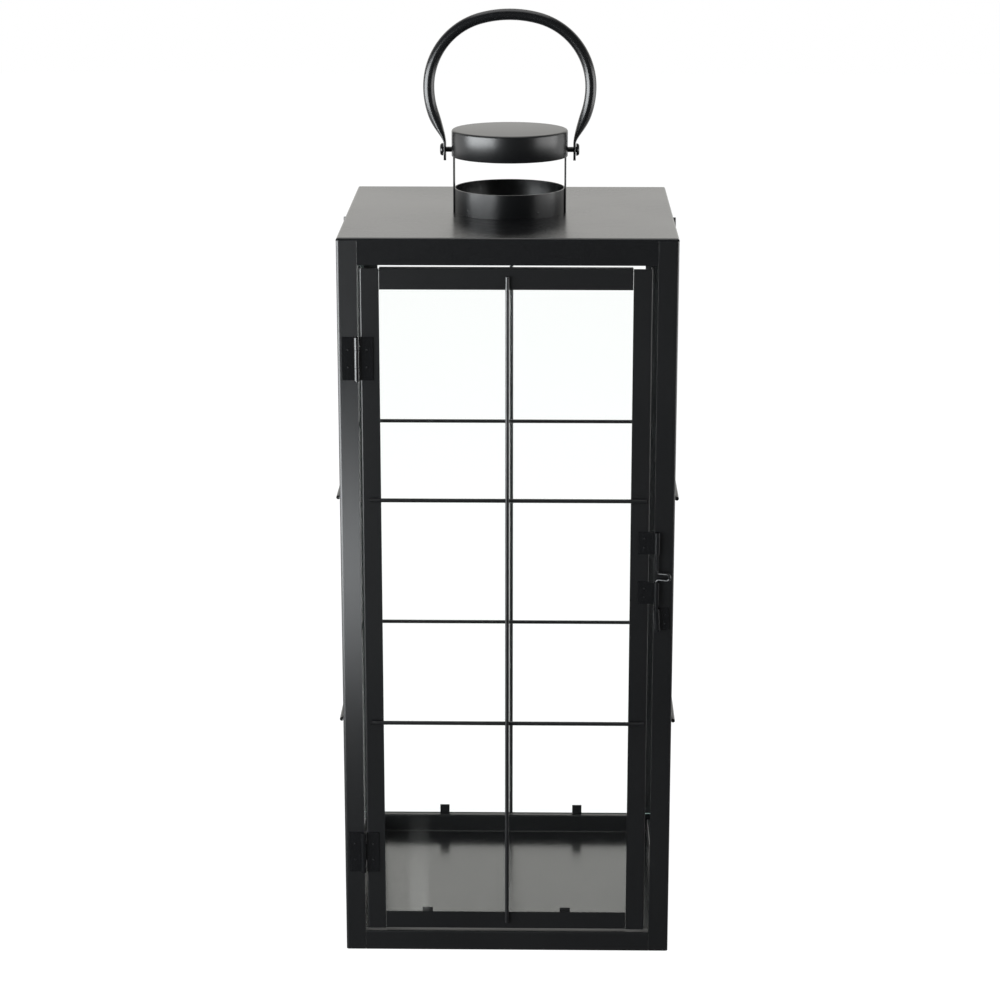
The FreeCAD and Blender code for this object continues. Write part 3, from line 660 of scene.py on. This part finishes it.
def turned_mesh(name, profile, axis, origin, segments):
    """Closed profile of (radius, along) points turned about an axis through origin."""
    aside = X_AXIS if abs(axis.x) < 0.5 else Z_AXIS
    across = axis.cross(aside).normalized()
    rings = []
    for i in range(segments):
        turn = 2 * math.pi * i / segments
        out = aside * math.cos(turn) + across * math.sin(turn)
        rings.append([origin + out * radius + axis * along for radius, along in profile])
    return mesh_of_rings(name, rings, closed=True)


def arc(centre, radius, first, last, steps):
    """Points of an arc in a profile, angles in degrees."""
    turns = [math.radians(first + (last - first) * i / steps) for i in range(steps + 1)]
    return [
        (centre[0] + radius * math.cos(turn), centre[1] + radius * math.sin(turn))
        for turn in turns
    ]


# ---------------------------------------------------------------- pieces

SIDES = ("left", "right", "rear")
HOUSING_BARS = [
    "bottom_rail_front",
    "bottom_rail_right",
    "bottom_rail_rear",
    "bottom_rail_left",
    "post_front_right",
    "post_rear_right",
    "post_rear_left",
]
DOOR_BARS = ["door_stile_left", "door_stile_right", "door_rail_top", "door_rail_bottom"]
TABS = ["glass_clips_left", "glass_clips_right", "glass_clips_rear", "door_glass_clips"]
STRIP_EDGE = 0.00025
STRIPS = [
    "hinge_upper_post_leaf",
    "hinge_upper_door_leaf",
    "hinge_lower_post_leaf",
    "hinge_lower_door_leaf",
    "latch_guide_upper",
    "latch_guide_lower",
    "latch_keeper",
]


class LANTERN_OT_housing(bpy.types.Operator):
    """Coat the posts, rails, roof and floor plate"""

    bl_idname = "lantern.housing"
    bl_label = "Housing"

    def execute(self, context):
        sizes = context.scene.lantern_sizes
        finish = context.scene.lantern_finish
        bars = coat("coat_bars")
        for node in HOUSING_BARS:
            dress(node, bars)
            soften(node, sizes.cut_edge)
        dress("post_front_left", coat("coat_twisted_bar", twist=POST_TWIST))
        soften("post_front_left", sizes.cut_edge)
        dress("roof", coat("coat_roof", finish.plate_roughness, peel=0.8))
        soften("roof", sizes.cut_edge)
        polish = finish.plate_roughness - FLOOR_EXTRA_GLOSS
        floor = coat("coat_floor", polish, peel=0.6, ior=1.9, pale_from=FLOOR_PALE_FROM)
        dress("base_plate", floor)
        return {"FINISHED"}


class LANTERN_OT_door(bpy.types.Operator):
    """Coat the door's four bars"""

    bl_idname = "lantern.door"
    bl_label = "Door frame"

    def execute(self, context):
        for node in DOOR_BARS:
            dress(node, coat("coat_door"))
            soften(node, context.scene.lantern_sizes.cut_edge)
        return {"FINISHED"}


class LANTERN_OT_glass(bpy.types.Operator):
    """Glaze the four sides and coat the tabs that hold the panes"""

    bl_idname = "lantern.glass"
    bl_label = "Glass and tabs"

    def execute(self, context):
        dress("door_glass", pane_glass("glass_door", "Y", dust_and_shade=0.5))
        dress("glass_rear", pane_glass("glass_rear", "Y", dust_and_shade=0.3))
        for side in ("left", "right"):
            dress("glass_" + side, pane_glass("glass_sides", "X", dust_and_shade=0.2))
        for node in TABS:
            dress(node, coat("coat_tabs"))
        return {"FINISHED"}


def wire_material():
    return coat("coat_wire", 0.36, peel=0.7, specks=0.5)


def make_level_wire(node, body, along):
    """Straight round wire in the place of a CAD node."""
    radius = bpy.context.scene.lantern_sizes.wire_diameter / 2
    low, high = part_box(node)
    centre = (low + high) / 2
    reach = (high - low).dot(along) / 2
    rings = tube_rings([centre - along * reach, centre + along * reach], radius, Z_AXIS)
    mesh = mesh_of_rings(node + "_round", rings)
    add_piece(node + "_round", mesh, body, wire_material(), [node])


def make_upright_wire(node, body, outward, levels):
    """Bowed round wire: its ends are on the skin and it passes over the two level wires."""
    radius = bpy.context.scene.lantern_sizes.wire_diameter / 2
    flat = 0.008
    bend = 1.2
    low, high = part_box(node)
    centre = (low + high) / 2
    depth = abs((high - low).dot(outward))
    skin = centre + outward * (radius - depth / 2)
    proud = centre + outward * (depth / 2 - radius)
    end = high.z - 0.00005
    heights = [low.z, levels[0] - flat, levels[1] + flat, end]
    corners = [
        Vector((spot.x, spot.y, height))
        for spot, height in zip((skin, proud, proud, skin), heights)
    ]
    path = rounded_corners(corners, bend, steps=6)
    rings = tube_rings(path, radius, outward.cross(Z_AXIS).normalized())
    mesh = mesh_of_rings(node + "_round", rings)
    add_piece(node + "_round", mesh, body, wire_material(), [node])


class LANTERN_OT_wires(bpy.types.Operator):
    """Make the round wire grids of the door and the three fixed sides"""

    bl_idname = "lantern.wires"
    bl_label = "Wire grids"

    def execute(self, context):
        levels = [middle("door_wire_lower").z, middle("door_wire_upper").z]
        outward = {"left": -X_AXIS, "right": X_AXIS, "rear": Y_AXIS}
        for side in SIDES:
            along = X_AXIS if side == "rear" else Y_AXIS
            for level in ("upper", "lower"):
                make_level_wire("wire_%s_%s" % (level, side), "frame", along)
            make_upright_wire("wire_upright_" + side, "frame", outward[side], levels)
        for level in ("upper", "lower"):
            make_level_wire("door_wire_" + level, "door", X_AXIS)
        make_upright_wire("door_wire_upright", "door", -Y_AXIS, levels)
        return {"FINISHED"}


class LANTERN_OT_strips(bpy.types.Operator):
    """Coat the hinges' leaves and pins, the latch's guides and its keeper"""

    bl_idname = "lantern.strips"
    bl_label = "Hinges and latch strips"

    def execute(self, context):
        for node in STRIPS:
            dress(node, coat("coat_strips", 0.19, peel=0.35, specks=1.6))
            soften(node, STRIP_EDGE)
        for node in ("hinge_upper_pin", "hinge_lower_pin"):
            dress(node, coat("coat_pins", 0.16, peel=0.2))
        return {"FINISHED"}


def add_nugget(name, place, normal, radius, body, material):
    """Low round mark of a spot weld."""
    rise = 0.00018
    root = -0.0001
    profile = [(AXIS_GAP, root), (radius, root)]
    profile += arc((radius - rise, 0.0), rise, 0, 90, 4) + [(AXIS_GAP, rise)]
    mesh = turned_mesh(name, profile, normal, place, 20)
    add_piece(name, mesh, body, material)


class LANTERN_OT_welds(bpy.types.Operator):
    """Add the spot weld marks on leaves, guides and crown ring"""

    bl_idname = "lantern.welds"
    bl_label = "Weld marks"

    def execute(self, context):
        metal = coat("coat_welds", 0.30, peel=1.4, specks=2.0)
        inset, keeper_inset = 0.0045, 0.0038
        strip_mark, ring_mark = 0.0007, 0.0009
        for node in STRIPS:
            low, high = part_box(node)
            on_door = node.startswith("latch_guide") or node.endswith("door_leaf")
            curl_left = node.endswith("door_leaf")
            x = high.x - inset if curl_left else low.x + inset
            if node == "latch_keeper":
                x = high.x - keeper_inset
            body = "door" if on_door else "frame"
            # A strip's flat leaf is a strip's thickness proud of the skin that it is welded to.
            face = -0.1259
            for i, share in enumerate((0.30, 0.70)):
                place = Vector((x, face, low.z + (high.z - low.z) * share))
                add_nugget("%s_weld_%d" % (node, i), place, -Y_AXIS, strip_mark, body, metal)
        ring_low, ring_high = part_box("crown_ring")
        radius = (ring_high.x - ring_low.x) / 2
        mark_height = 0.0042
        for i, turn in enumerate((-48.0, 31.0)):
            out = Vector((math.sin(math.radians(turn)), -math.cos(math.radians(turn)), 0))
            place = out * radius + Z_AXIS * (ring_low.z + mark_height)
            add_nugget("crown_ring_weld_%d" % i, place, out, ring_mark, "frame", metal)
        return {"FINISHED"}


class LANTERN_OT_latch_rod(bpy.types.Operator):
    """Make the latch's bent rod"""

    bl_idname = "lantern.latch_rod"
    bl_label = "Latch rod"

    def execute(self, context):
        sizes = context.scene.lantern_sizes
        radius = sizes.rod_diameter / 2
        low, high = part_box("latch_bolt")
        axis = Vector((low.x + radius, high.y - radius, 0))
        out = Vector((math.cos(sizes.loop_turn), -math.sin(sizes.loop_turn), 0))
        tip = out * sizes.loop_reach
        guide_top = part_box("latch_guide_lower")[1].z
        clearance, loop_gap = 0.0003, 0.0048
        leg_low = guide_top + clearance + sizes.rod_bend
        leg_high = leg_low + loop_gap
        corners = [
            axis + Z_AXIS * low.z,
            axis + Z_AXIS * leg_low,
            axis + tip + Z_AXIS * leg_low,
            axis + tip + Z_AXIS * leg_high,
            axis + Z_AXIS * leg_high,
            axis + Z_AXIS * high.z,
        ]
        path = rounded_corners(corners, sizes.rod_bend)
        rings = tube_rings(path, radius, out.cross(Z_AXIS).normalized(), sides=24, end_round=0.5)
        mesh = mesh_of_rings("latch_rod", rings)
        rod_coat = coat("coat_rod", 0.17, peel=0.25)
        add_piece("latch_rod", mesh, "bolt", rod_coat, ["latch_bolt"])
        return {"FINISHED"}


class LANTERN_OT_crown(bpy.types.Operator):
    """Make the crown's rounded cap and domed rivets, and coat its ring and straps"""

    bl_idname = "lantern.crown"
    bl_label = "Crown"

    def execute(self, context):
        sizes = context.scene.lantern_sizes
        low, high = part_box("crown_cap")
        self.make_cap(sizes, low, high)
        self.make_rivets()
        for node in ("crown_ring", "crown_strap_left", "crown_strap_right"):
            dress(node, coat("coat_crown", 0.30, peel=0.6, ior=1.4))
            soften(node, sizes.cut_edge)
        return {"FINISHED"}

    def make_cap(self, sizes, low, high):
        wall = 0.001
        radius = (high.x - low.x) / 2
        height = high.z - low.z
        edge = sizes.cap_edge_radius
        lip = 0.0002
        inside = radius - wall
        profile = [(AXIS_GAP, height)]
        profile += arc((radius - edge, height - edge), edge, 90, 0, 8)
        profile += [(radius, lip), (radius - lip, 0.0), (inside + lip, 0.0), (inside, lip)]
        inner_edge = edge - wall
        profile += arc((inside - inner_edge, height - wall - inner_edge), inner_edge, 0, 90, 4)
        profile.append((AXIS_GAP, height - wall))
        origin = Vector((0, 0, low.z))
        mesh = turned_mesh("cap_round", profile, Z_AXIS, origin, sizes.round_segments)
        cap_coat = coat("coat_cap", 0.33, peel=0.6)
        add_piece("cap_round", mesh, "frame", cap_coat, ["crown_cap"])

    def make_rivets(self):
        shank = 0.002
        tail, tail_height = 0.0035, 0.0012
        head_height = 0.0024
        dome = 0.0019
        metal = coat("coat_rivets", 0.25, peel=0.5)
        for side, sign in (("left", -1), ("right", 1)):
            node = "handle_rivet_" + side
            low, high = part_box(node)
            head = (high.z - low.z) / 2
            inner = low.x if sign > 0 else -high.x
            outer = high.x if sign > 0 else -low.x
            face = outer - head_height
            profile = [(AXIS_GAP, inner), (tail, inner), (tail, inner + tail_height)]
            profile += [(shank, inner + tail_height), (shank, face), (head, face)]
            profile += arc((head - dome, outer - dome), dome, 0, 90, 8)
            profile.append((AXIS_GAP, outer))
            origin = Vector((0, 0, (low.z + high.z) / 2))
            mesh = turned_mesh(node + "_domed", profile, X_AXIS * sign, origin, 48)
            add_piece(node + "_domed", mesh, "frame", metal, [node])


# The pressed ends of the handle: their X, and where they begin and end, up from the rivets.
PADDLE_X = 0.0496
PADDLE_TOP = 0.0052
PADDLE_TIP = -0.0085


class LANTERN_OT_handle(bpy.types.Operator):
    """Make the bail handle, a round tube whose ends are pressed flat"""

    bl_idname = "lantern.handle"
    bl_label = "Handle"

    def execute(self, context):
        sizes = context.scene.lantern_sizes
        pivot = middle("handle_rivet_right").z
        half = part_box("handle")[1].x - sizes.tube_diameter / 2
        widest = pivot + sizes.widest_height
        right = self.bow_sections(sizes, half, widest)
        right += self.neck_sections(sizes, half, widest, pivot)
        right += self.paddle_sections(sizes, pivot)
        left = [self.mirrored(ring) for ring in reversed(right[1:])]
        mesh = mesh_of_rings("bail_handle", left + right)
        tube_coat = coat("coat_handle", 0.25, peel=0.12, specks=0.4)
        add_piece("bail_handle", mesh, "handle", tube_coat, ["handle"])
        return {"FINISHED"}

    @staticmethod
    def mirrored(ring):
        return [Vector((-point.x, point.y, point.z)) for point in ring]

    @staticmethod
    def section(centre, outward, thick, wide, pressed, sides=48):
        """Across the tube: round at pressed 0, a flat strip at pressed 1."""
        power = 1 - 0.55 * pressed
        ring = []
        for i in range(sides):
            turn = 2 * math.pi * i / sides
            across = math.copysign(abs(math.cos(turn)) ** power, math.cos(turn))
            along = math.copysign(abs(math.sin(turn)) ** power, math.sin(turn))
            ring.append(centre + outward * (thick * across) + Y_AXIS * (wide * along))
        return ring

    def bow_sections(self, sizes, half, widest):
        radius = sizes.tube_diameter / 2
        shoulder = sizes.shoulder_radius
        join = sizes.shoulder_angle
        crown = (half - shoulder * (1 - math.cos(join))) / math.cos(join)
        crown_z = widest + (shoulder - crown) * math.sin(join)
        rings = []
        steps = 8
        for i in range(steps):
            turn = math.pi / 2 + (join - math.pi / 2) * i / steps
            out = Vector((math.cos(turn), 0, math.sin(turn)))
            centre = Vector((0, 0, crown_z)) + out * crown
            rings.append(self.section(centre, out, radius, radius, 0))
        steps = 32
        for i in range(steps):
            turn = join * (1 - i / steps)
            out = Vector((math.cos(turn), 0, math.sin(turn)))
            centre = Vector((half - shoulder, 0, widest)) + out * shoulder
            rings.append(self.section(centre, out, radius, radius, 0))
        return rings

    def neck_sections(self, sizes, half, widest, pivot):
        """Down the neck, where the tube curves in to the crown and is pressed flat."""
        radius = sizes.tube_diameter / 2
        flat = sizes.paddle_thickness / 2
        broad = sizes.paddle_width / 2
        bulge = 0.022
        round_share = 0.35
        start = Vector((half, 0, widest))
        foot = Vector((PADDLE_X, 0, pivot + PADDLE_TOP))
        poles = [start, start - Z_AXIS * bulge, foot + Vector((flat / 2, 0, bulge / 3)), foot]
        rings = []
        steps = 40
        for i in range(steps + 1):
            share = i / steps
            rest = 1 - share
            weights = (rest**3, 3 * rest**2 * share, 3 * rest * share**2, share**3)
            centre = sum((p * w for p, w in zip(poles, weights)), Vector())
            slopes = (3 * rest**2, 6 * rest * share, 3 * share**2)
            runs = [b - a for a, b in zip(poles, poles[1:])]
            along = sum((r * w for r, w in zip(runs, slopes)), Vector()).normalized()
            outward = Vector((-along.z, 0, along.x))
            pressed = min(max((share - round_share) / (1 - round_share), 0), 1)
            pressed = pressed * pressed * (3 - 2 * pressed)
            thick = radius + (flat - radius) * pressed
            wide = radius + (broad - radius) * pressed
            rings.append(self.section(centre, outward, thick, wide, pressed))
        return rings

    def paddle_sections(self, sizes, pivot):
        """Flat end with a round tip."""
        flat = sizes.paddle_thickness / 2
        broad = sizes.paddle_width / 2
        tip = pivot + PADDLE_TIP
        rings = []
        steps = 14
        for i in range(steps + 1):
            turn = math.pi / 2 * i / steps
            width = max(broad * math.cos(turn), broad * 0.06)
            centre = Vector((PADDLE_X, 0, tip + broad * (1 - math.sin(turn))))
            rings.append(self.section(centre, X_AXIS, flat, width, 1))
        return rings


# ---------------------------------------------------------------- studio


def make_world(studio):
    """White backdrop to the camera; polished surfaces see it bright behind, dark in front."""
    world = bpy.data.worlds.new("studio_world")
    bpy.context.scene.world = world
    graph = Graph(world)
    direction = graph.axes_of(graph.add("ShaderNodeTexCoord", output="Generated"))
    rays = graph.add("ShaderNodeLightPath").link.node
    is_camera = Socket(graph, rays.outputs["Is Camera Ray"])
    is_through = Socket(graph, rays.outputs["Is Transmission Ray"])
    is_glossy = Socket(graph, rays.outputs["Is Glossy Ray"])

    behind = graph.ease(direction[1], -0.05, 0.60)
    overhead = graph.ease(direction[2], 0.35, 0.95) * 0.35
    gloss = studio.front_gloss + (studio.backdrop_gloss - studio.front_gloss) * behind
    seen_in_gloss = gloss * (1 - overhead)
    plain = studio.ambient * (1 - is_glossy) + seen_in_gloss * is_glossy
    tint = graph.blend_colour(behind * is_glossy, (0.96, 0.985, 1.0), (1.0, 0.99, 0.955))
    lit = graph.add("ShaderNodeBackground", inputs={"Color": tint, "Strength": plain})
    white = graph.add("ShaderNodeBackground", inputs={"Color": (1, 1, 1, 1), "Strength": 1.0})
    seen = graph.add("ShaderNodeMath", {"operation": "MAXIMUM"}, {0: is_camera, 1: is_through})
    graph.finish(graph.blend_shader(seen, lit, white), "ShaderNodeOutputWorld")


def make_floor(studio):
    """Pale floor: nearly white to the camera, but it keeps the lantern's shadow."""
    material = bpy.data.materials.new("studio_floor")
    graph = Graph(material)
    place = graph.object_place()
    matt = graph.add(
        "ShaderNodeBsdfPrincipled",
        inputs={"Base Color": opaque(studio.floor_colour), "Roughness": 0.8},
    )
    white = graph.add("ShaderNodeEmission", inputs={"Color": (1, 1, 1, 1), "Strength": 1.1})
    rays = graph.add("ShaderNodeLightPath").link.node
    is_camera = Socket(graph, rays.outputs["Is Camera Ray"])
    is_glossy = Socket(graph, rays.outputs["Is Glossy Ray"])
    behind = graph.ease(graph.axes_of(place)[1], -0.2, 0.5)
    dull = graph.add("ShaderNodeEmission", inputs={"Strength": 0.07})
    bright = graph.add("ShaderNodeEmission", inputs={"Strength": 1.1})
    in_gloss = graph.blend_shader(behind, dull, bright)
    to_camera = graph.blend_shader(is_camera * 0.84, matt, white)
    graph.finish(graph.blend_shader(is_glossy, to_camera, in_gloss))

    half = 6.0
    corners = [(-half, -half, 0), (half, -half, 0), (half, half, 0), (-half, half, 0)]
    mesh = bpy.data.meshes.new("studio_floor")
    mesh.from_pydata(corners, [], [(0, 1, 2, 3)])
    mesh.materials.append(material)
    floor = bpy.data.objects.new("studio_floor", mesh)
    floor.location.z = -0.0002
    bpy.context.scene.collection.objects.link(floor)


def add_softbox(name, place, target, width, height, power, colour=(1, 1, 1)):
    lamp = bpy.data.lights.new(name, "AREA")
    lamp.shape = "RECTANGLE"
    lamp.size = width
    lamp.size_y = height
    lamp.energy = power
    lamp.color = colour
    softbox = bpy.data.objects.new(name, lamp)
    aim = Vector(target) - Vector(place)
    softbox.rotation_euler = aim.to_track_quat("-Z", "Y").to_euler()
    softbox.location = place
    softbox.visible_camera = False
    bpy.context.scene.collection.objects.link(softbox)


class LANTERN_OT_stage(bpy.types.Operator):
    """Set up the floor, surroundings, softboxes and camera"""

    bl_idname = "lantern.stage"
    bl_label = "Studio"

    def execute(self, context):
        studio = context.scene.lantern_studio
        context.scene.view_settings.view_transform = "Standard"
        make_world(studio)
        make_floor(studio)
        mid_body = (0, 0, 0.42)
        cool = (0.95, 0.98, 1.0)
        # The two side softboxes are upright and low, so that the roof doesn't mirror them.
        low = 0.46
        left, right, aim = (-1.54, -0.92, low), (1.76, -0.30, low), (0, 0, low)
        add_softbox("softbox_left", left, aim, 2.1, 0.9, studio.left_power, cool)
        add_softbox("softbox_right", right, aim, 1.7, 0.9, studio.right_power)
        add_softbox("softbox_top", (0, 0.1, 2.4), mid_body, 1.6, 1.6, studio.top_power)
        self.place_camera(context.scene, studio)
        return {"FINISHED"}

    def place_camera(self, scene, studio):
        camera = bpy.data.cameras.new("studio_camera")
        camera.sensor_width = 36
        camera.lens = studio.lens
        camera.clip_end = 50
        eye = bpy.data.objects.new("studio_camera", camera)
        level = math.cos(studio.tilt)
        forward = Vector(
            (
                -math.sin(studio.yaw) * level,
                math.cos(studio.yaw) * level,
                -math.sin(studio.tilt),
            )
        )
        eye.rotation_euler = forward.to_track_quat("-Z", "Y").to_euler()
        eye.location = studio.eye
        scene.collection.objects.link(eye)
        scene.camera = eye


# ---------------------------------------------------------------- add-on

OPERATORS = (
    LANTERN_OT_housing,
    LANTERN_OT_door,
    LANTERN_OT_glass,
    LANTERN_OT_wires,
    LANTERN_OT_strips,
    LANTERN_OT_welds,
    LANTERN_OT_latch_rod,
    LANTERN_OT_crown,
    LANTERN_OT_handle,
    LANTERN_OT_stage,
)


class LANTERN_PT_panel(bpy.types.Panel):
    """The lantern's pieces and settings"""

    bl_idname = "LANTERN_PT_panel"
    bl_label = "Lantern"
    bl_space_type = "VIEW_3D"
    bl_region_type = "UI"
    bl_category = "Lantern"

    def draw(self, context):
        for operator in OPERATORS:
            self.layout.operator(operator.bl_idname)
        scene = context.scene
        for group in (scene.lantern_sizes, scene.lantern_finish, scene.lantern_studio):
            box = self.layout.box()
            for name in group.bl_rna.properties.keys():
                if name not in ("rna_type", "name"):
                    box.prop(group, name)


SETTINGS = {
    "lantern_sizes": LanternSizes,
    "lantern_finish": LanternFinish,
    "lantern_studio": LanternStudio,
}
CLASSES = (*SETTINGS.values(), *OPERATORS, LANTERN_PT_panel)


def register():
    for kind in CLASSES:
        bpy.utils.register_class(kind)
    for name, kind in SETTINGS.items():
        setattr(bpy.types.Scene, name, PointerProperty(type=kind))


def unregister():
    for name in SETTINGS:
        delattr(bpy.types.Scene, name)
    for kind in reversed(CLASSES):
        bpy.utils.unregister_class(kind)


def main():
    register()
    for operator in OPERATORS:
        group, action = operator.bl_idname.split(".")
        getattr(getattr(bpy.ops, group), action)()


if __name__ == "__main__":
    main()
